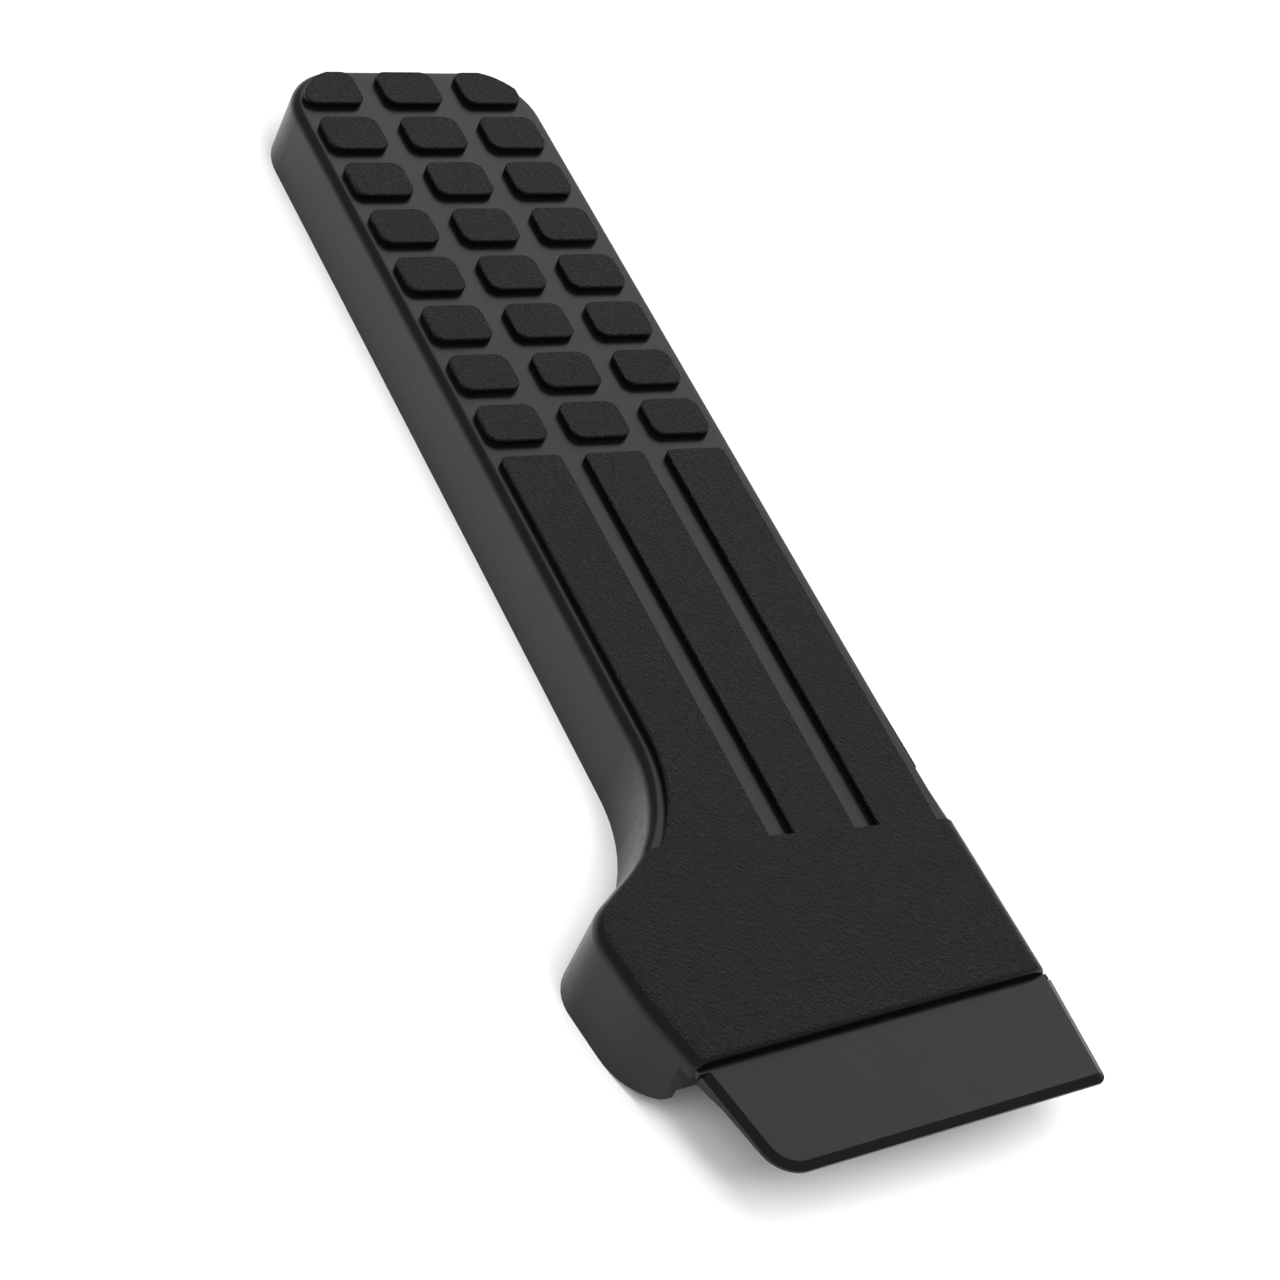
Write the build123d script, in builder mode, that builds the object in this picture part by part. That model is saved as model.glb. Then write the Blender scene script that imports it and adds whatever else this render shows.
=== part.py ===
"""Floor-hinged accelerator pedal: a ribbed tread moulding film-hinged to a short fixed heel plate.

Tread coordinates are used for every plan position: x across the tread, y towards the toe end, z out of the
tread, with z = 0 on top of the raised pads and the origin at the middle of the pad lattice.
"""
from build123d import *
import math
import os

# ---- Where the parts sit (mm, degrees) ----
TREAD_X = 16.362         # pad lattice centre, measured from the middle of the overall box
TREAD_Y = 72.864
TREAD_H = 15.9           # pad tops above the surface that the side walls stand on
TREAD_LEAN = 0.5         # the tread falls this much towards the toe
HEEL_TOP = 15.6          # height of the heel plate's top face

# ---- Tread outline, at the top of the side walls ----
TOE_Y = 56.1
LEFT_X = -31.0
RIGHT_X = 21.4
TOE_R = 13.0
WAIST = (LEFT_X, -131.3)         # where the left side turns out to the flare
WAIST_R = 36.0
FLARE_TIP = (-57.3, -151.0)
FLARE_TIP_R = 10.0
FLARE_SIDE = (-54.7, -168.3)
FLARE_SIDE_R = 60.0
RIGHT_BEND = (RIGHT_X, -118.0)   # the right side leans out below here
RIGHT_BEND_R = 1300.0
FRONT_RIGHT_X = 23.1
FRONT_LEFT_X = -50.9

# ---- Hinge line ----
HINGE_SKEW = 7.9         # the left end lies nearer the heel
HINGE_X = -9.7
HINGE_Y = -176.5
HINGE_GAP = 1.0          # gap between heel and tread that the film bridges
FILM_TOP = 1.9           # below the pad tops
FILM_T = 1.0
FILM_CLEAR = 0.02
FILM_FROM = -41.0        # film ends, along the hinge line
FILM_TO = 33.0

# ---- Tread levels ----
RECESS = 1.35            # depth of the smooth floor below the pads
ROOF = 3.8               # underside of the tread skin
WALL = 2.3
EDGE_R_UPPER = 1.8
EDGE_R_LEFT = 2.6        # of the raised field beside the hinge
EDGE_R_RIGHT = 3.3
EDGE_R_FRONT = 0.9
FIELD_Y = -138.0         # the tread is all raised from here to the hinge
TOO_DEEP = 30.0          # reaches past everything below the tread
TOO_FAR = 400.0          # reaches past everything in plan
ROOT = 0.5               # raised shapes start this far inside the floor

# ---- Raised pads and strips ----
PAD_PITCH_X = 17.0
PAD_PITCH_Y = 12.81
PAD_W = 12.2
PAD_L = 9.0
PAD_R = 2.4
PAD_COLUMNS = 3
PAD_ROWS = 8
PAD_EDGE_R = 0.35
PAD_X = -5.2
PAD_Y = 4.5
STRIP_TOP_Y = -48.6
STRIP_LEDGE = 2.7        # strip to tread side at the waist
WAIST_TOP_Y = -105.0     # the left strip reaches out to the tread side below here
STRIP_R = 1.2
STRIP_OVERLAP = 3.0      # strips run on this far inside the raised field

# ---- Under the tread ----
LIP = 3.5                # hinge line to front wall, which the tread skin overhangs
FRONT_WALL_T = 2.2
FRONT_WALL_H = 10.5      # its lower edge below the pad tops
HEEL_CURVE_R = 18.0      # the walls' lower edge rises round this radius near the hinge
HEEL_CURVE_Y = -166.0
RIB_T = 1.8
RIB_DEPTH = 13.2
RIB_TOE_Y = 31.0         # the cross rib nearest the toe
RIB_PITCH = 25.0
RIB_COUNT = 8
FLARE_RIB_X = -34.5
FLARE_RIB_L = 60.0
RIB_GAP = 0.6            # spine strip to rib
SEAT = 6.2               # the spine strip lies on cross ribs at this depth

# ---- Where the side wall is divided into plain lengths ----
TOE_CORNER_Y = TOE_Y - TOE_R
WALL_CUT_YS = (TOE_CORNER_Y, -114.0, -126.0, -138.0, -148.5, -158.0)
WALL_CUT_XS = (LEFT_X + TOE_R, RIGHT_X - TOE_R)

# ---- Spine strip and its fixings ----
SPINE_X = -5.1
SPINE_W = 24.0
SPINE_T = 1.5
SPINE_TOE_Y = 28.0
SPINE_HEEL_Y = -150.0
SPINE_END_R = 4.0
SPINE_SLOT_YS = (-56.5, -106.5)
SPINE_SLOT_L = 26.0
SPINE_SLOT_W = 9.0
SPINE_SCREW_YS = (18.5, -31.5, -81.5, -131.5)
SCREW_R = 2.0
SCREW_HEAD_R = 4.0
SCREW_HEAD_H = 2.2
SCREW_RECESS_L = 3.6
SCREW_RECESS_W = 0.9
SCREW_TIP = 2.9          # screw tips below the pad tops
BOSS_R = 4.2
LINK_Y = -6.5            # throttle rod ball stud screws in here
LINK_THREAD_R = 2.5      # M6 thread, minor radius
LINK_NUT_R = 4.5
LINK_RISE = 2.2          # nut body above the strip
LINK_FLANGE_R = 6.5
LINK_FLANGE_T = 1.0

# ---- Full-throttle stop ----
STOP_Y = 43.0
STOP_R = 7.0
STOP_BOTTOM = 13.8
STOP_EDGE_R = 1.5
STOP_WASHER_R = 4.6
STOP_WASHER_T = 1.0
STOP_POCKET = 4.2        # screw head and washer sit this far inside the rubber

# ---- Heel plate ----
HEEL_DEPTH = 21.0
HEEL_T = 2.8             # at the hinge
HEEL_MID_T = 1.8         # where the hinge rib has run out into the plate
HEEL_TIP_T = 1.2         # at the front edge
HEEL_MID_RUN = 6.0
HEEL_REAR_LEFT_X = -49.6
HEEL_FRONT_LEFT_X = -44.4
HEEL_REAR_RIGHT_X = 23.8
HEEL_FRONT_RIGHT_X = 23.6
HEEL_LEFT_R = 6.0
HEEL_RIGHT_R = 2.0
HEEL_SLOPE_W = 1.4       # sloped edge round the plate, in from its outline
HEEL_SLOPE_H = 0.8
HEEL_EDGE_R = 0.4

# ---- Heel fixings ----
FIXING_X = (-27.0, 9.0)
FIXING_Y = -185.0
INSERT_R = 3.5
INSERT_THREAD_R = 2.1    # M5 thread, minor radius
INSERT_L = 5.8
BOSS_DROP = 8.2          # boss ends below the heel's top face
HEEL_BOSS_R = 4.6
PLATE_T = 1.2            # steel backing plate
PLATE_NEAR = 6.5
PLATE_FAR = 18.5
PLATE_LEFT = -33.0
PLATE_RIGHT = 29.0
FOAM_T = 1.0             # foam pad under the plate
CLEAR = 0.3

cross_rib_ys = [RIB_TOE_Y - RIB_PITCH * i for i in range(RIB_COUNT)]

lean = math.radians(TREAD_LEAN)
skew = math.radians(HINGE_SKEW)
TREAD = Plane(
    origin=(TREAD_X, TREAD_Y, TREAD_H),
    x_dir=(1, 0, 0),
    z_dir=(0, math.sin(lean), math.cos(lean)),
)
TREAD_UP = Axis(TREAD.origin, TREAD.z_dir)
HEEL = Plane(origin=(TREAD_X, TREAD_Y, HEEL_TOP))
HEEL_CURVE = Plane(origin=(0, TREAD_Y + HEEL_CURVE_Y, 0), x_dir=(0, -1, 0), z_dir=(-1, 0, 0))
HEEL_SECTION = Plane(
    origin=HEEL.from_local_coords((HINGE_X, HINGE_Y, 0)),
    x_dir=(-math.sin(skew), math.cos(skew), 0),
    z_dir=(math.cos(skew), math.sin(skew), 0),
)
ALONG = Vector(math.cos(skew), math.sin(skew), 0)
AHEAD = Vector(-math.sin(skew), math.cos(skew), 0)


def level(z):
    """Plane parallel to the tread, at height z in tread coordinates."""
    return TREAD.offset(z)


def tread_point(x, y, z):
    """World position of a point in tread coordinates."""
    return TREAD.from_local_coords((x, y, z))


def tread_section(y):
    """Plane across the tread at y, with tread x and z as its axes and its normal towards the heel."""
    return Plane(origin=TREAD.from_local_coords((0, y, 0)), x_dir=(1, 0, 0), z_dir=-TREAD.y_dir)


def hinge_section(ahead):
    """Upright plane parallel to the hinge line, ahead of it."""
    return Plane(origin=tread_point(*from_hinge(0, ahead), 0), z_dir=AHEAD)


def from_hinge(along, ahead):
    """Plan point at a distance along the hinge line and ahead of it, towards the toe."""
    return (
        HINGE_X + along * ALONG.X + ahead * AHEAD.X,
        HINGE_Y + along * ALONG.Y + ahead * AHEAD.Y,
    )


def on_hinge_at_x(x, ahead):
    """Plan point with the given x on the line parallel to the hinge, ahead of it."""
    along = (x - HINGE_X - ahead * AHEAD.X) / ALONG.X
    return from_hinge(along, ahead)


def heel_point(x, y):
    """World position of a plan point on the heel plate's top face."""
    return HEEL.from_local_coords((x, y, 0))


def under_heel(behind, below):
    """Point of the heel section behind the hinge line and square below the sloping underside."""
    slope = math.atan2(HEEL_MID_T - HEEL_TIP_T, HEEL_DEPTH - HEEL_MID_RUN)
    height = -HEEL_MID_T + (behind - HEEL_MID_RUN) * math.tan(slope)
    return (-behind - below * math.sin(slope), height - below * math.cos(slope))


def tread_outline(inset=0.0):
    """Plan face of the tread, drawn in by inset."""
    with BuildSketch() as plan:
        with BuildLine():
            FilletPolyline(
                on_hinge_at_x(FRONT_RIGHT_X, HINGE_GAP),
                RIGHT_BEND,
                (RIGHT_X, TOE_Y),
                (LEFT_X, TOE_Y),
                WAIST,
                FLARE_TIP,
                FLARE_SIDE,
                on_hinge_at_x(FRONT_LEFT_X, HINGE_GAP),
                radius=[0, RIGHT_BEND_R, TOE_R, TOE_R, WAIST_R, FLARE_TIP_R, FLARE_SIDE_R, 0],
                close=True,
            )
        make_face()
        if inset:
            offset(amount=-inset)
    return plan.sketch


def hollow_outline():
    """Plan face of the hollow under the tread, between the side walls and the front wall."""
    with BuildSketch() as plan:
        add(tread_outline(inset=WALL))
        hinge_band(-TOO_FAR / 2, LIP + FRONT_WALL_T, mode=Mode.SUBTRACT)
    return plan.sketch


def long_rib_plan():
    """Plan faces of the ribs that run along the tread, before they are trimmed to the hollow."""
    with BuildSketch() as plan:
        with Locations((SPINE_X, (TOE_Y + HINGE_Y) / 2)):
            with GridLocations(SPINE_W + 2 * RIB_GAP + RIB_T, 1, 2, 1):
                Rectangle(RIB_T, TOE_Y - HINGE_Y)
        with Locations((FLARE_RIB_X, HINGE_Y)):
            Rectangle(RIB_T, FLARE_RIB_L, align=(Align.CENTER, Align.MIN))
    return plan.sketch


def heel_outline():
    """Plan face of the heel plate."""
    with BuildSketch() as plan:
        with BuildLine():
            FilletPolyline(
                on_hinge_at_x(HEEL_REAR_RIGHT_X, 0),
                on_hinge_at_x(HEEL_REAR_LEFT_X, 0),
                on_hinge_at_x(HEEL_FRONT_LEFT_X, -HEEL_DEPTH),
                on_hinge_at_x(HEEL_FRONT_RIGHT_X, -HEEL_DEPTH),
                radius=[0, 0, HEEL_LEFT_R, HEEL_RIGHT_R],
                close=True,
            )
        make_face()
    return plan.sketch


def keep_above(y):
    """Keep the part of the sketch on the toe side of y."""
    with Locations((0, y + TOO_FAR / 2)):
        Rectangle(TOO_FAR, TOO_FAR, mode=Mode.INTERSECT)


def keep_below(y):
    """Keep the part of the sketch on the hinge side of y."""
    with Locations((0, y - TOO_FAR / 2)):
        Rectangle(TOO_FAR, TOO_FAR, mode=Mode.INTERSECT)


def hinge_band(ahead_from, ahead_to, along_from=-TOO_FAR / 2, along_to=TOO_FAR / 2, mode=Mode.ADD):
    """Band parallel to the hinge line, in plan, inside a sketch."""
    centre = from_hinge((along_from + along_to) / 2, (ahead_from + ahead_to) / 2)
    with Locations(Location((*centre, 0), (0, 0, HINGE_SKEW))):
        Rectangle(along_to - along_from, ahead_to - ahead_from, mode=mode)


def top_edges(part):
    """Edges round the highest tread-parallel faces of a part."""
    return part.faces().filter_by(TREAD_UP).group_by(TREAD_UP)[-1].edges()


# ---- Raised pads and strips, made apart so that their top edges can be rounded ----
with BuildPart() as raised:
    with BuildSketch(level(-RECESS - ROOT)):
        with Locations((PAD_X, PAD_Y)):
            with GridLocations(PAD_PITCH_X, PAD_PITCH_Y, PAD_COLUMNS, PAD_ROWS):
                RectangleRounded(PAD_W, PAD_L, PAD_R)
        add(tread_outline(inset=EDGE_R_UPPER), mode=Mode.INTERSECT)
    extrude(amount=RECESS + ROOT)
    with BuildSketch(level(-RECESS - ROOT)):
        strip_length = STRIP_TOP_Y - FIELD_Y + STRIP_OVERLAP
        with Locations((PAD_X, STRIP_TOP_Y - strip_length / 2)):
            with GridLocations(PAD_PITCH_X, 1, PAD_COLUMNS, 1):
                RectangleRounded(PAD_W, strip_length, STRIP_R)
        with Locations((PAD_X - PAD_PITCH_X, FIELD_Y - STRIP_OVERLAP)):
            Rectangle(TOO_FAR, WAIST_TOP_Y - FIELD_Y + STRIP_OVERLAP, align=(Align.MAX, Align.MIN))
        add(tread_outline(inset=STRIP_LEDGE), mode=Mode.INTERSECT)
    extrude(amount=RECESS + ROOT)
    fillet(top_edges(raised), PAD_EDGE_R)

# ---- Tread body towards the toe, with its floor recessed ----
with BuildPart() as upper:
    with BuildSketch(level(0)):
        add(tread_outline())
        keep_above(FIELD_Y - ROOT)
    extrude(amount=-TOO_DEEP)
    with BuildSketch(level(-RECESS)):
        Rectangle(TOO_FAR, TOO_FAR)
    extrude(amount=TOO_DEEP, mode=Mode.SUBTRACT)
    fillet(top_edges(upper).sort_by(Axis.Y)[1:], EDGE_R_UPPER)

# ---- Tread body at the hinge, raised all over ----
with BuildPart() as lower:
    with BuildSketch(level(0)):
        add(tread_outline())
        keep_below(FIELD_Y)
    extrude(amount=-TOO_DEEP)
    for side, radius in ((-1, EDGE_R_LEFT), (1, EDGE_R_RIGHT)):
        front_edge = top_edges(lower).sort_by_distance(tread_point(*from_hinge(0, HINGE_GAP), 0))[0]
        step_edge = top_edges(lower).sort_by(Axis.Y)[-1]
        side_edges = [edge for edge in top_edges(lower) if edge not in (front_edge, step_edge)]
        fillet([edge for edge in side_edges if side * (edge.center().X - TREAD_X) > 0], radius)
    front_edge = top_edges(lower).sort_by_distance(tread_point(*from_hinge(0, HINGE_GAP), 0))[0]
    fillet(front_edge, EDGE_R_FRONT)

# ---- Pedal moulding: its whole outer form, hollow underneath and with a front wall ----
with BuildPart() as moulding:
    add(upper.part)
    add(lower.part)
    add(raised.part)
    with BuildSketch(level(-ROOF)):
        add(hollow_outline())
    extrude(amount=-TOO_DEEP, mode=Mode.SUBTRACT)
    # Only the skin reaches the hinge line
    with BuildSketch(level(-ROOF)):
        hinge_band(-TOO_FAR / 2, LIP)
    extrude(amount=-TOO_DEEP, mode=Mode.SUBTRACT)
    # The front wall between the side walls is shallower than they are
    with BuildSketch(level(-FRONT_WALL_H)):
        add(tread_outline(inset=WALL))
    extrude(amount=-TOO_DEEP, mode=Mode.SUBTRACT)
    # The walls' lower edge curves up near the hinge
    with BuildSketch(HEEL_CURVE):
        Rectangle(HEEL_CURVE_R, 2 * HEEL_CURVE_R, align=(Align.MIN, Align.CENTER))
        with Locations((0, HEEL_CURVE_R)):
            Circle(HEEL_CURVE_R, mode=Mode.SUBTRACT)
    extrude(amount=TOO_FAR / 2, both=True, mode=Mode.SUBTRACT)
    split(bisect_by=Plane.XY, keep=Keep.TOP)

# ---- Tread plate: the moulding's skin, with pads, strips and rounded rim ----
with BuildPart() as tread_plate:
    add(moulding.part)
    split(bisect_by=level(-ROOF), keep=Keep.TOP)
    with BuildSketch(level(-SCREW_TIP)):
        with Locations(*[(SPINE_X, y) for y in (*SPINE_SCREW_YS, STOP_Y)]):
            Circle(SCREW_R)
    extrude(amount=-TOO_DEEP, mode=Mode.SUBTRACT)

# ---- Side wall: the moulding below its skin, divided into plain lengths ----
with BuildPart() as side_wall:
    add(moulding.part)
    split(bisect_by=level(-ROOF), keep=Keep.BOTTOM)
    split(bisect_by=hinge_section(LIP + FRONT_WALL_T), keep=Keep.BOTH)
    for cut_y in WALL_CUT_YS:
        split(bisect_by=tread_section(cut_y), keep=Keep.BOTH)
    for cut_x in WALL_CUT_XS:
        split(bisect_by=Plane(origin=tread_point(cut_x, 0, 0), z_dir=(1, 0, 0)), keep=Keep.BOTH)

# ---- Long ribs: two beside the spine strip and one in the flare ----
with BuildPart() as long_ribs:
    with BuildSketch(level(-ROOF)):
        add(long_rib_plan())
        add(hollow_outline(), mode=Mode.INTERSECT)
    extrude(amount=-(RIB_DEPTH - ROOF))

# ---- Cross ribs: lengths between the long ribs, low where they carry the spine strip ----
with BuildPart() as cross_ribs:
    with BuildSketch(level(-ROOF)):
        for cross_y in cross_rib_ys:
            with Locations((SPINE_X, cross_y)):
                Rectangle(TOO_FAR, RIB_T)
        add(hollow_outline(), mode=Mode.INTERSECT)
        add(long_rib_plan(), mode=Mode.SUBTRACT)
    extrude(amount=-(RIB_DEPTH - ROOF))
    with BuildSketch(level(-SEAT)):
        with Locations((SPINE_X, SPINE_TOE_Y)):
            Rectangle(SPINE_W + RIB_GAP, TOO_FAR)
    extrude(amount=-TOO_DEEP, mode=Mode.SUBTRACT)

# ---- Bosses: one for each spine screw, and a wide one for the full-throttle stop ----
with BuildPart() as screw_bosses:
    with BuildSketch(level(-ROOF)):
        with Locations(*[(SPINE_X, y) for y in SPINE_SCREW_YS]):
            Circle(BOSS_R)
        with Locations((SPINE_X, STOP_Y)):
            Circle(STOP_R)
        with Locations(*[(SPINE_X, y) for y in (*SPINE_SCREW_YS, STOP_Y)]):
            Circle(SCREW_R, mode=Mode.SUBTRACT)
    extrude(amount=-(SEAT - ROOF))

# ---- Film hinge: the thin web that joins tread and heel plate ----
with BuildPart() as hinge_film:
    with BuildSketch(level(-FILM_TOP)):
        hinge_band(FILM_CLEAR, HINGE_GAP, along_from=FILM_FROM, along_to=FILM_TO)
    extrude(amount=-FILM_T)

# ---- Spine strip: flat steel stiffener under the tread ----
with BuildPart() as spine_strip:
    with BuildSketch(level(-SEAT)):
        with Locations((SPINE_X, (SPINE_TOE_Y + SPINE_HEEL_Y) / 2)):
            RectangleRounded(SPINE_W, SPINE_TOE_Y - SPINE_HEEL_Y, SPINE_END_R)
        with Locations(*[(SPINE_X, y) for y in SPINE_SCREW_YS]):
            Circle(SCREW_R + CLEAR, mode=Mode.SUBTRACT)
        with Locations((SPINE_X, LINK_Y)):
            Circle(LINK_NUT_R, mode=Mode.SUBTRACT)
        with Locations(*[(SPINE_X, y) for y in SPINE_SLOT_YS]):
            SlotOverall(SPINE_SLOT_L, SPINE_SLOT_W, rotation=90, mode=Mode.SUBTRACT)
    extrude(amount=-SPINE_T)

# ---- Spine screws ----
with BuildPart() as spine_screws:
    head_top = -SEAT - SPINE_T
    with BuildSketch(level(head_top)):
        with Locations(*[(SPINE_X, y) for y in SPINE_SCREW_YS]):
            Circle(SCREW_HEAD_R)
    extrude(amount=-SCREW_HEAD_H)
    heads = spine_screws.faces().filter_by(TREAD_UP).group_by(TREAD_UP)[0]
    fillet(heads.edges(), SCREW_HEAD_H / 2)
    with BuildSketch(level(head_top)):
        with Locations(*[(SPINE_X, y) for y in SPINE_SCREW_YS]):
            Circle(SCREW_R)
    extrude(amount=-head_top - SCREW_TIP)
    with BuildSketch(level(head_top - SCREW_HEAD_H)):
        with Locations(*[(SPINE_X, y) for y in SPINE_SCREW_YS]):
            Rectangle(SCREW_RECESS_L, SCREW_RECESS_W)
            Rectangle(SCREW_RECESS_W, SCREW_RECESS_L)
    extrude(amount=SCREW_HEAD_H / 2, mode=Mode.SUBTRACT)

# ---- Link nut: flanged rivet nut in the spine, for the throttle rod's ball stud ----
with BuildPart() as link_nut:
    with BuildSketch(level(-SEAT - SPINE_T)):
        with Locations((SPINE_X, LINK_Y)):
            Circle(LINK_FLANGE_R)
    extrude(amount=-LINK_FLANGE_T)
    with BuildSketch(level(-SEAT - SPINE_T - LINK_FLANGE_T)):
        with Locations((SPINE_X, LINK_Y)):
            Circle(LINK_NUT_R)
    extrude(amount=LINK_FLANGE_T + SPINE_T + LINK_RISE)
    with BuildSketch(level(-SEAT - SPINE_T - LINK_FLANGE_T)):
        with Locations((SPINE_X, LINK_Y)):
            Circle(LINK_THREAD_R)
    extrude(amount=TOO_DEEP, mode=Mode.SUBTRACT)

# ---- Full-throttle stop: rubber buffer with a steel washer and screw inside its bore ----
with BuildPart() as throttle_stop:
    with BuildSketch(level(-SEAT)):
        with Locations((SPINE_X, STOP_Y)):
            Circle(STOP_R)
    extrude(amount=-(STOP_BOTTOM - SEAT))
    fillet(throttle_stop.faces().sort_by(TREAD_UP)[0].edges(), STOP_EDGE_R)
    with BuildSketch(level(-SEAT)):
        with Locations((SPINE_X, STOP_Y)):
            Circle(SCREW_R)
    extrude(amount=-TOO_DEEP, mode=Mode.SUBTRACT)
    with BuildSketch(level(-STOP_BOTTOM + STOP_POCKET)):
        with Locations((SPINE_X, STOP_Y)):
            Circle(STOP_WASHER_R)
    extrude(amount=-TOO_DEEP, mode=Mode.SUBTRACT)

with BuildPart() as stop_washer:
    with BuildSketch(level(-STOP_BOTTOM + STOP_POCKET)):
        with Locations((SPINE_X, STOP_Y)):
            Circle(STOP_WASHER_R)
            Circle(SCREW_R, mode=Mode.SUBTRACT)
    extrude(amount=-STOP_WASHER_T)

with BuildPart() as stop_screw:
    head_top = -STOP_BOTTOM + STOP_POCKET - STOP_WASHER_T
    with BuildSketch(level(head_top)):
        with Locations((SPINE_X, STOP_Y)):
            Circle(SCREW_HEAD_R)
    extrude(amount=-SCREW_HEAD_H)
    fillet(stop_screw.faces().sort_by(TREAD_UP)[0].edges(), SCREW_HEAD_H / 2)
    with BuildSketch(level(head_top)):
        with Locations((SPINE_X, STOP_Y)):
            Circle(SCREW_R)
    extrude(amount=-head_top - SCREW_TIP)
    with BuildSketch(level(head_top - SCREW_HEAD_H)):
        with Locations((SPINE_X, STOP_Y)):
            Rectangle(SCREW_RECESS_L, SCREW_RECESS_W)
            Rectangle(SCREW_RECESS_W, SCREW_RECESS_L)
    extrude(amount=SCREW_HEAD_H / 2, mode=Mode.SUBTRACT)

# ---- Heel plate: wedge-shaped plate with two insert bosses ----
with BuildPart() as heel_plate:
    with BuildSketch(HEEL_SECTION):
        with BuildLine():
            Polyline(
                (0, 0),
                (-HEEL_DEPTH, 0),
                (-HEEL_DEPTH, -HEEL_TIP_T),
                (-HEEL_MID_RUN, -HEEL_MID_T),
                (0, -HEEL_T),
                close=True,
            )
        make_face()
    extrude(amount=TOO_FAR / 2, both=True)
    with BuildSketch(HEEL):
        add(heel_outline())
    extrude(amount=-TOO_DEEP, mode=Mode.INTERSECT)
    top = heel_plate.faces().filter_by(Axis.Z).sort_by(Axis.Z)[-1]
    rear_edge = top.edges().sort_by_distance(heel_point(*from_hinge(0, 0)))[0]
    outer_edges = [edge for edge in top.edges() if edge != rear_edge]
    chamfer(outer_edges, length=HEEL_SLOPE_W, length2=HEEL_SLOPE_H, reference=top)
    top = heel_plate.faces().filter_by(Axis.Z).sort_by(Axis.Z)[-1]
    rear_edge = top.edges().sort_by_distance(heel_point(*from_hinge(0, 0)))[0]
    fillet([edge for edge in top.edges() if edge != rear_edge], HEEL_EDGE_R)
    with BuildSketch(HEEL.offset(-BOSS_DROP)):
        with Locations(*[(x, FIXING_Y) for x in FIXING_X]):
            Circle(HEEL_BOSS_R)
    extrude(amount=BOSS_DROP - HEEL_TIP_T)
    with BuildSketch(HEEL.offset(-BOSS_DROP)):
        with Locations(*[(x, FIXING_Y) for x in FIXING_X]):
            Circle(INSERT_R)
    extrude(amount=INSERT_L, mode=Mode.SUBTRACT)

heel_inserts = {}
for side, insert_x in zip(("left", "right"), FIXING_X):
    with BuildPart() as insert:
        with BuildSketch(HEEL.offset(-BOSS_DROP)):
            with Locations((insert_x, FIXING_Y)):
                Circle(INSERT_R)
                Circle(INSERT_THREAD_R, mode=Mode.SUBTRACT)
        extrude(amount=INSERT_L)
    heel_inserts[side] = insert

# ---- Backing plate and foam pad under the heel plate ----
heel_layers = {}
for layer, (depth, thickness) in {
    "heel_backing_plate": (0, PLATE_T),
    "heel_foam_pad": (PLATE_T, FOAM_T),
}.items():
    with BuildPart() as sheet:
        with BuildSketch(HEEL_SECTION.offset(PLATE_LEFT)):
            with BuildLine():
                Polyline(
                    under_heel(PLATE_NEAR, depth),
                    under_heel(PLATE_FAR, depth),
                    under_heel(PLATE_FAR, depth + thickness),
                    under_heel(PLATE_NEAR, depth + thickness),
                    close=True,
                )
            make_face()
        extrude(amount=PLATE_RIGHT - PLATE_LEFT)
        with BuildSketch(HEEL):
            with Locations(*[(x, FIXING_Y) for x in FIXING_X]):
                Circle(HEEL_BOSS_R + CLEAR)
        extrude(amount=-TOO_DEEP, mode=Mode.SUBTRACT)
    heel_layers[layer] = sheet

pieces = {
    "tread_plate": tread_plate,
    "side_wall": side_wall,
    "long_ribs": long_ribs,
    "cross_ribs": cross_ribs,
    "screw_bosses": screw_bosses,
    "hinge_film": hinge_film,
    "spine_strip": spine_strip,
    "spine_screws": spine_screws,
    "link_nut": link_nut,
    "throttle_stop": throttle_stop,
    "stop_washer": stop_washer,
    "stop_screw": stop_screw,
    "heel_plate": heel_plate,
    "heel_insert_left": heel_inserts["left"],
    "heel_insert_right": heel_inserts["right"],
    **heel_layers,
}
os.makedirs("parts", exist_ok=True)
for name, piece in pieces.items():
    piece.part.label = name
    export_step(piece.part, f"parts/{name}.step")
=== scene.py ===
import math

import bmesh
import bpy
from mathutils import Matrix, Vector


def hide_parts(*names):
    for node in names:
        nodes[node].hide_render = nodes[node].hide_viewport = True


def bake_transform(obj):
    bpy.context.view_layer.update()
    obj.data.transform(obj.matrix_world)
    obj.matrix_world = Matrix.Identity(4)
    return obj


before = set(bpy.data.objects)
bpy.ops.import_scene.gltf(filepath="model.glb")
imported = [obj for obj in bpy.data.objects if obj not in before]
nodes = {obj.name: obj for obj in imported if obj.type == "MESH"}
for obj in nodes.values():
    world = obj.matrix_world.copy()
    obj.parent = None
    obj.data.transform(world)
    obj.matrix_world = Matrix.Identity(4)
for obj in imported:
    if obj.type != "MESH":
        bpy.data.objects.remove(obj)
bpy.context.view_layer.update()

MM = 0.001

# ---- Where the tread and the hinge lie: origin in the frame, the rest in tread millimetres ----
TREAD_ORIGIN = Vector((16.362, 72.864, 15.9)) * MM
TREAD_LEAN = math.radians(0.5)
TREAD_X = Vector((1, 0, 0))
TREAD_Y = Vector((0, math.cos(TREAD_LEAN), -math.sin(TREAD_LEAN)))
TREAD_Z = Vector((0, math.sin(TREAD_LEAN), math.cos(TREAD_LEAN)))
HINGE_SKEW = math.radians(7.9)
HINGE_X = -9.7
HINGE_Y = -176.5
FILM_TOP = 1.9
GRAIN_TURN = 21          # degrees between the leather grain and the tread's length


def tread_point(x, y, z):
    """Frame position, in metres, of a point in tread millimetres."""
    return TREAD_ORIGIN + (TREAD_X * x + TREAD_Y * y + TREAD_Z * z) * MM


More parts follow.
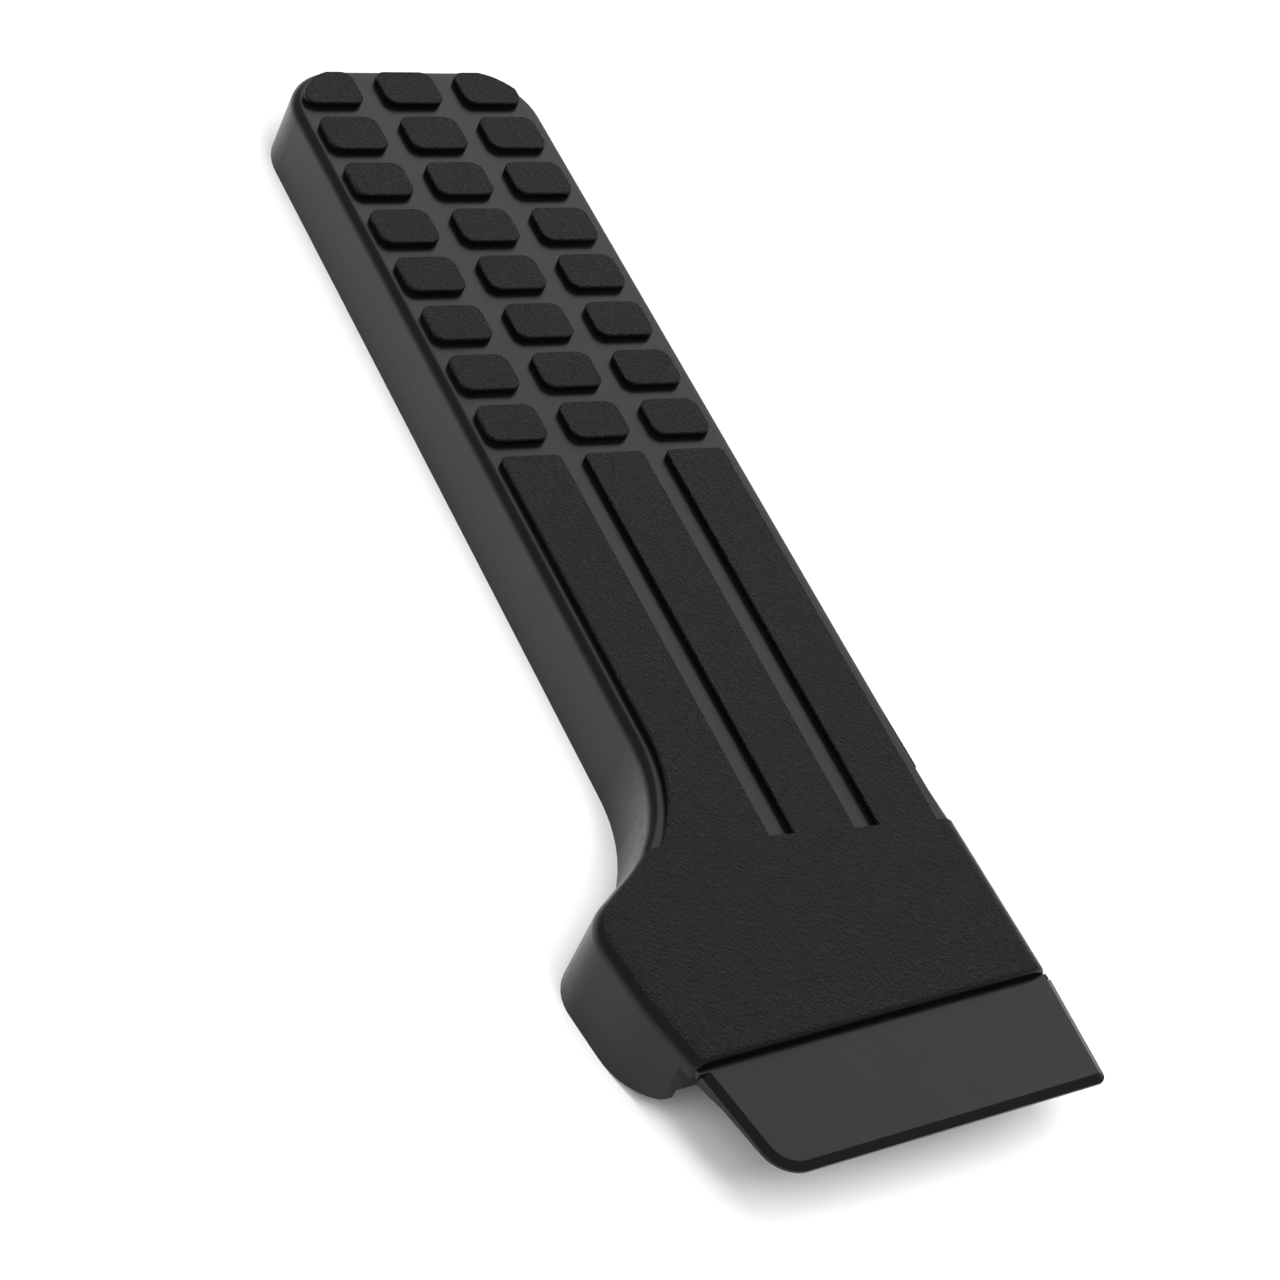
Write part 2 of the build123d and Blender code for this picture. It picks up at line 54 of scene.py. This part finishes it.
# ---- Plastic ----
BLACK = (0.002, 0.002, 0.0021)
GRAINED_BLACK = (0.0016, 0.0016, 0.0017)
FLECK_GREY = (0.10, 0.10, 0.10)
WORN_BLACK = (0.016, 0.016, 0.017)

# ---- Node material helpers ----
class Graph:
    """A material's node tree, with short calls for the nodes used here."""

    def __init__(self, name):
        self.material = bpy.data.materials.new(name)
        self.material.use_nodes = True
        self.tree = self.material.node_tree
        self.tree.nodes.clear()
        self.output = self.tree.nodes.new("ShaderNodeOutputMaterial")
        self.shader = self.tree.nodes.new("ShaderNodeBsdfPrincipled")
        self.tree.links.new(self.shader.outputs[0], self.output.inputs["Surface"])
        self.place = self.tree.nodes.new("ShaderNodeTexCoord").outputs["Object"]

    def put(self, socket, value):
        """Set an input socket to a number or colour, or link it to another node's output."""
        if isinstance(value, bpy.types.NodeSocket):
            self.tree.links.new(value, socket)
        else:
            socket.default_value = (*value, 1.0) if isinstance(value, tuple) else value

    def math(self, operation, a, b=0.0, c=0.0):
        node = self.tree.nodes.new("ShaderNodeMath")
        node.operation = operation
        for socket, value in zip(node.inputs, (a, b, c)):
            self.put(socket, value)
        return node.outputs[0]

    def step(self, value, low, high, out_low=0.0, out_high=1.0):
        """Smooth ramp of value from low..high to out_low..out_high."""
        node = self.tree.nodes.new("ShaderNodeMapRange")
        node.interpolation_type = "SMOOTHSTEP"
        for name, v in (
            ("Value", value),
            ("From Min", low),
            ("From Max", high),
            ("To Min", out_low),
            ("To Max", out_high),
        ):
            self.put(node.inputs[name], v)
        return node.outputs[0]

    def stretched(self, stretch, turn=0.0):
        """Coordinates turned about Z and then stretched along their own axes."""
        node = self.tree.nodes.new("ShaderNodeMapping")
        node.vector_type = "TEXTURE"
        self.put(node.inputs["Vector"], self.place)
        node.inputs["Rotation"].default_value = (0, 0, math.radians(turn))
        node.inputs["Scale"].default_value = stretch
        return node.outputs[0]

    def noise(self, scale, detail=2.0, rough=0.5, vector=None):
        node = self.tree.nodes.new("ShaderNodeTexNoise")
        self.put(node.inputs["Vector"], vector or self.place)
        for name, v in (("Scale", scale), ("Detail", detail), ("Roughness", rough)):
            node.inputs[name].default_value = v
        return node.outputs[0]

    def voronoi(self, scale, vector=None):
        node = self.tree.nodes.new("ShaderNodeTexVoronoi")
        self.put(node.inputs["Vector"], vector or self.place)
        node.inputs["Scale"].default_value = scale
        return node.outputs["Distance"]

    def mix(self, factor, a, b):
        node = self.tree.nodes.new("ShaderNodeMix")
        node.data_type = "RGBA"
        self.put(node.inputs["Factor"], factor)
        self.put(node.inputs["A"], a)
        self.put(node.inputs["B"], b)
        return node.outputs["Result"]

    def mix_value(self, factor, a, b):
        node = self.tree.nodes.new("ShaderNodeMix")
        self.put(node.inputs["Factor"], factor)
        self.put(node.inputs["A"], a)
        self.put(node.inputs["B"], b)
        return node.outputs["Result"]

    def bump(self, height, strength, distance, normal=None):
        node = self.tree.nodes.new("ShaderNodeBump")
        self.put(node.inputs["Height"], height)
        self.put(node.inputs["Strength"], strength)
        node.inputs["Distance"].default_value = distance
        if normal is not None:
            self.put(node.inputs["Normal"], normal)
        return node.outputs[0]

    def edge_wear(self, radius):
        """0 on flat faces, rising to 1 on sharp convex edges."""
        bevel = self.tree.nodes.new("ShaderNodeBevel")
        bevel.samples = 6
        bevel.inputs["Radius"].default_value = radius
        geometry = self.tree.nodes.new("ShaderNodeNewGeometry")
        dot = self.tree.nodes.new("ShaderNodeVectorMath")
        dot.operation = "DOT_PRODUCT"
        self.tree.links.new(bevel.outputs[0], dot.inputs[0])
        self.tree.links.new(geometry.outputs["Normal"], dot.inputs[1])
        return self.step(dot.outputs["Value"], 0.995, 0.86)

    def set(self, **values):
        for name, value in values.items():
            self.put(self.shader.inputs[name.replace("_", " ")], value)
        return self.material


def moulding_material(name, grained, worn_edges):
    """Black injection-moulded plastic; the raised faces carry a fine leather grain."""
    g = Graph(name)
    large = g.noise(38, detail=3)
    fine = g.noise(900, detail=3)
    fleck = g.noise(1900, detail=1, rough=0.7)
    scuff = g.noise(240, detail=4, rough=0.65, vector=g.stretched((1, 6, 1), turn=24))
    split = g.tree.nodes.new("ShaderNodeSeparateXYZ")
    g.tree.links.new(g.place, split.inputs[0])
    tone = g.math("MULTIPLY_ADD", large, 0.22, 0.89)
    smooth_rough = g.math("ADD", g.step(scuff, 0.35, 0.75, 0.25, 0.30), g.math("MULTIPLY", large, 0.05))
    satin_bump = g.bump(fine, 0.12, 0.00003)
    if grained:
        # Height above the tread's pad tops, in metres
        lift = g.math("MULTIPLY", split.outputs["Z"], math.cos(TREAD_LEAN))
        lift = g.math("MULTIPLY_ADD", split.outputs["Y"], math.sin(TREAD_LEAN), lift)
        top = TREAD_ORIGIN.z * math.cos(TREAD_LEAN) + TREAD_ORIGIN.y * math.sin(TREAD_LEAN)
        raised = g.step(lift, top - 0.0005, top - 0.0001)
        grain_place = g.stretched((1, 2.2, 1), turn=GRAIN_TURN)
        cells = g.voronoi(3000, vector=grain_place)
        pores = g.noise(3400, detail=2, rough=0.6, vector=grain_place)
        height = g.math("ADD", g.math("MULTIPLY", cells, 0.8), pores)
        grain_bump = g.bump(height, raised, 0.0003, normal=satin_bump)
        rough = g.mix_value(raised, smooth_rough, g.math("MULTIPLY_ADD", pores, 0.14, 0.36))
        base = g.mix(raised, BLACK, GRAINED_BLACK)
        speck = g.math("MULTIPLY", g.step(fleck, 0.80, 0.86), raised)
        base = g.mix(g.math("MULTIPLY", speck, 0.6), base, FLECK_GREY)
        normal = grain_bump
    else:
        rough = smooth_rough
        base = BLACK
        normal = satin_bump
    if worn_edges:
        worn = g.math("MULTIPLY", g.edge_wear(0.0004), g.step(large, 0.4, 0.75))
        if grained:
            worn = g.math("MULTIPLY", worn, g.step(lift, top - 0.0032, top - 0.0026))
        base = g.mix(g.math("MULTIPLY", worn, 0.35), base, WORN_BLACK)
    hue = g.tree.nodes.new("ShaderNodeHueSaturation")
    g.put(hue.inputs["Color"], base)
    g.put(hue.inputs["Value"], tone)
    return g.set(Base_Color=hue.outputs[0], Roughness=rough, Normal=normal, IOR=1.5, Specular_IOR_Level=0.23)


def plated_material(name, colour, rough):
    """Zinc-plated pressed steel: faint rolling lines, cloudy plating and bright worn edges."""
    g = Graph(name)
    clouds = g.noise(160, detail=5, rough=0.6)
    lines = g.noise(420, detail=3, vector=g.stretched((0.2, 5, 0.2)))
    spots = g.noise(700, detail=2)
    dull = tuple(c * 0.72 for c in colour)
    base = g.mix(g.step(clouds, 0.35, 0.68), colour, dull)
    base = g.mix(g.math("MULTIPLY", g.step(spots, 0.66, 0.74), 0.5), base, (0.20, 0.17, 0.12))
    base = g.mix(g.math("MULTIPLY", g.edge_wear(0.0003), 0.5), base, (0.85, 0.84, 0.80))
    roughness = g.math("MULTIPLY_ADD", clouds, 0.22, rough - 0.08)
    height = g.math("ADD", lines, g.math("MULTIPLY", spots, 0.4))
    return g.set(Base_Color=base, Metallic=1.0, Roughness=roughness, Normal=g.bump(height, 0.25, 0.00004))


def brass_material():
    """Turned brass insert with fine turning rings."""
    g = Graph("turned_brass")
    clouds = g.noise(300, detail=4)
    rings = g.noise(500, detail=2, vector=g.stretched((5, 5, 0.15)))
    base = g.mix(g.step(clouds, 0.35, 0.7), (0.78, 0.60, 0.30), (0.52, 0.36, 0.15))
    base = g.mix(g.math("MULTIPLY", g.edge_wear(0.0003), 0.6), base, (0.92, 0.80, 0.52))
    return g.set(
        Base_Color=base,
        Metallic=1.0,
        Roughness=g.math("MULTIPLY_ADD", clouds, 0.2, 0.2),
        Normal=g.bump(rings, 0.4, 0.00006),
    )


def rubber_material():
    """Moulded black rubber with a dull bloom and slight scuffing."""
    g = Graph("stop_rubber")
    bloom = g.noise(220, detail=4)
    pores = g.noise(1600, detail=2)
    base = g.mix(g.step(bloom, 0.4, 0.72), (0.018, 0.018, 0.018), (0.045, 0.044, 0.042))
    base = g.mix(g.math("MULTIPLY", g.edge_wear(0.0006), 0.6), base, (0.07, 0.07, 0.068))
    return g.set(
        Base_Color=base,
        Roughness=g.math("MULTIPLY_ADD", pores, 0.2, 0.62),
        Normal=g.bump(pores, 0.5, 0.00008),
    )


def foam_material():
    """Charcoal closed-cell foam with a finely pitted skin."""
    g = Graph("closed_cell_foam")
    cells = g.voronoi(1400)
    patches = g.noise(180, detail=3)
    base = g.mix(g.step(cells, 0.12, 0.5), (0.025, 0.025, 0.027), (0.085, 0.085, 0.09))
    base = g.mix(g.math("MULTIPLY", g.step(patches, 0.5, 0.8), 0.4), base, (0.12, 0.12, 0.12))
    base = g.mix(g.math("MULTIPLY", g.edge_wear(0.0004), 0.4), base, (0.14, 0.14, 0.14))
    return g.set(
        Base_Color=base,
        Roughness=g.math("MULTIPLY_ADD", cells, 0.15, 0.8),
        Normal=g.bump(cells, 0.8, 0.0002),
    )


tread_material = moulding_material("grained_moulding", grained=True, worn_edges=True)
wall_material = moulding_material("wall_moulding", grained=False, worn_edges=False)
heel_material = moulding_material("heel_moulding", grained=False, worn_edges=True)
plated = plated_material("zinc_plate", (0.62, 0.61, 0.56), 0.38)
screw_steel = plated_material("zinc_screw", (0.50, 0.49, 0.45), 0.32)
node_materials = {
    "tread_plate": tread_material,
    "side_wall": wall_material,
    "long_ribs": wall_material,
    "cross_ribs": wall_material,
    "screw_bosses": wall_material,
    "heel_plate": heel_material,
    "spine_strip": plated,
    "link_nut": plated,
    "stop_washer": plated,
    "heel_backing_plate": plated,
    "spine_screws": screw_steel,
    "stop_screw": screw_steel,
    "throttle_stop": rubber_material(),
    "heel_foam_pad": foam_material(),
}
brass = brass_material()
for name in ("heel_insert_left", "heel_insert_right"):
    node_materials[name] = brass
for name, material in node_materials.items():
    nodes[name].data.materials.clear()
    nodes[name].data.materials.append(material)

# ---- Film hinge: one thin web across the gap between heel plate and tread ----
FILM_ROWS = 12           # divisions across the gap
FILM_COLUMNS = 60        # divisions along the hinge
FILM_FROM = -41.0
FILM_TO = 33.0
FILM_T = 1.0
FILM_GAP = 1.0


def film_mesh():
    """Strip across the gap, on the hinge line, finely divided across."""
    bm = bmesh.new()
    grid = {}
    for side, z in (("top", -FILM_TOP), ("bottom", -FILM_TOP - FILM_T)):
        for i in range(FILM_COLUMNS + 1):
            along = FILM_FROM + (FILM_TO - FILM_FROM) * i / FILM_COLUMNS
            for j in range(FILM_ROWS + 1):
                ahead = FILM_GAP * j / FILM_ROWS
                x = HINGE_X + along * math.cos(HINGE_SKEW) - ahead * math.sin(HINGE_SKEW)
                y = HINGE_Y + along * math.sin(HINGE_SKEW) + ahead * math.cos(HINGE_SKEW)
                grid[side, i, j] = bm.verts.new(tread_point(x, y, z))
    for i in range(FILM_COLUMNS):
        for j in range(FILM_ROWS):
            for side in ("top", "bottom"):
                bm.faces.new([grid[side, i + a, j + b] for a, b in ((0, 0), (1, 0), (1, 1), (0, 1))])
        for j in (0, FILM_ROWS):
            corners = (("top", i), ("top", i + 1), ("bottom", i + 1), ("bottom", i))
            bm.faces.new([grid[side, column, j] for side, column in corners])
    for i in (0, FILM_COLUMNS):
        for j in range(FILM_ROWS):
            corners = (("top", j), ("top", j + 1), ("bottom", j + 1), ("bottom", j))
            bm.faces.new([grid[side, i, row] for side, row in corners])
    bmesh.ops.recalc_face_normals(bm, faces=bm.faces)
    mesh = bpy.data.meshes.new("hinge_film_web")
    bm.to_mesh(mesh)
    bm.free()
    return mesh


film = bpy.data.objects.new("hinge_film_web", film_mesh())
bpy.context.scene.collection.objects.link(film)
film.data.materials.append(wall_material)
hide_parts("hinge_film")
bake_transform(film)

# ---- Floor ----
floor_mesh = bpy.data.meshes.new("studio_floor")
half = 2.5               # metres
floor_mesh.from_pydata(
    [(-half, -half, 0), (half, -half, 0), (half, half, 0), (-half, half, 0)], [], [(0, 1, 2, 3)]
)
floor = bpy.data.objects.new("studio_floor", floor_mesh)
bpy.context.scene.collection.objects.link(floor)
g = Graph("pale_floor")
floor_mesh.materials.append(
    g.set(
        Base_Color=g.mix(g.noise(6, detail=4), (0.86, 0.86, 0.86), (0.88, 0.88, 0.88)),
        Roughness=0.6,
        Specular_IOR_Level=0.1,
    )
)

# ---- Studio light ----
LAMP_DISTANCE = 1.5
bpy.context.scene.view_settings.view_transform = "Standard"
world = bpy.data.worlds.new("studio")
bpy.context.scene.world = world
world.use_nodes = True
world.node_tree.nodes["Background"].inputs["Color"].default_value = (1, 1, 1, 1)
world.node_tree.nodes["Background"].inputs["Strength"].default_value = 0.5


def softbox(name, place, size, power):
    """Large square lamp at place, turned to the object; its size is in metres and its power in watts."""
    light = bpy.data.lights.new(name, "AREA")
    light.shape = "SQUARE"
    light.size = size
    light.energy = power
    lamp = bpy.data.objects.new(name, light)
    lamp.location = place
    lamp.rotation_euler = (-place).to_track_quat("-Z", "Y").to_euler()
    bpy.context.scene.collection.objects.link(lamp)
    return lamp


def around(heading, elevation):
    """Lamp place at a heading from +Y towards +X and an elevation, both in degrees."""
    h, e = math.radians(heading), math.radians(elevation)
    return Vector((math.sin(h) * math.cos(e), math.cos(h) * math.cos(e), math.sin(e))) * LAMP_DISTANCE


softbox("panel", around(43, 40), 1.2, 6.8)
# The lamps that light the floor don't mirror in the black plastic
softbox("key", around(180, 54), 0.3, 4.5).visible_glossy = False
softbox("overhead", around(180, 78), 1.0, 13.5).visible_glossy = False
softbox("fill", around(245, 40), 1.2, 11.0).visible_glossy = False

# ---- Camera ----
CAMERA_PLACE = Vector((-403.997, -444.065, 509.876)) * MM
CAMERA_AIM = Vector((2.903, -12.991, 8.0)) * MM
CAMERA_ROLL = math.radians(-27.3615)
CAMERA_LENS = 126.5625
camera_data = bpy.data.cameras.new("camera")
camera_data.lens = CAMERA_LENS
camera_data.sensor_width = 36.0
camera_data.clip_start = 0.01
camera = bpy.data.objects.new("camera", camera_data)
bpy.context.scene.collection.objects.link(camera)
look = (CAMERA_AIM - CAMERA_PLACE).to_track_quat("-Z", "Y").to_matrix()
roll = Matrix.Rotation(-CAMERA_ROLL, 3, "Z")
camera.matrix_world = Matrix.Translation(CAMERA_PLACE) @ (look @ roll).to_4x4()
bpy.context.scene.camera = camera
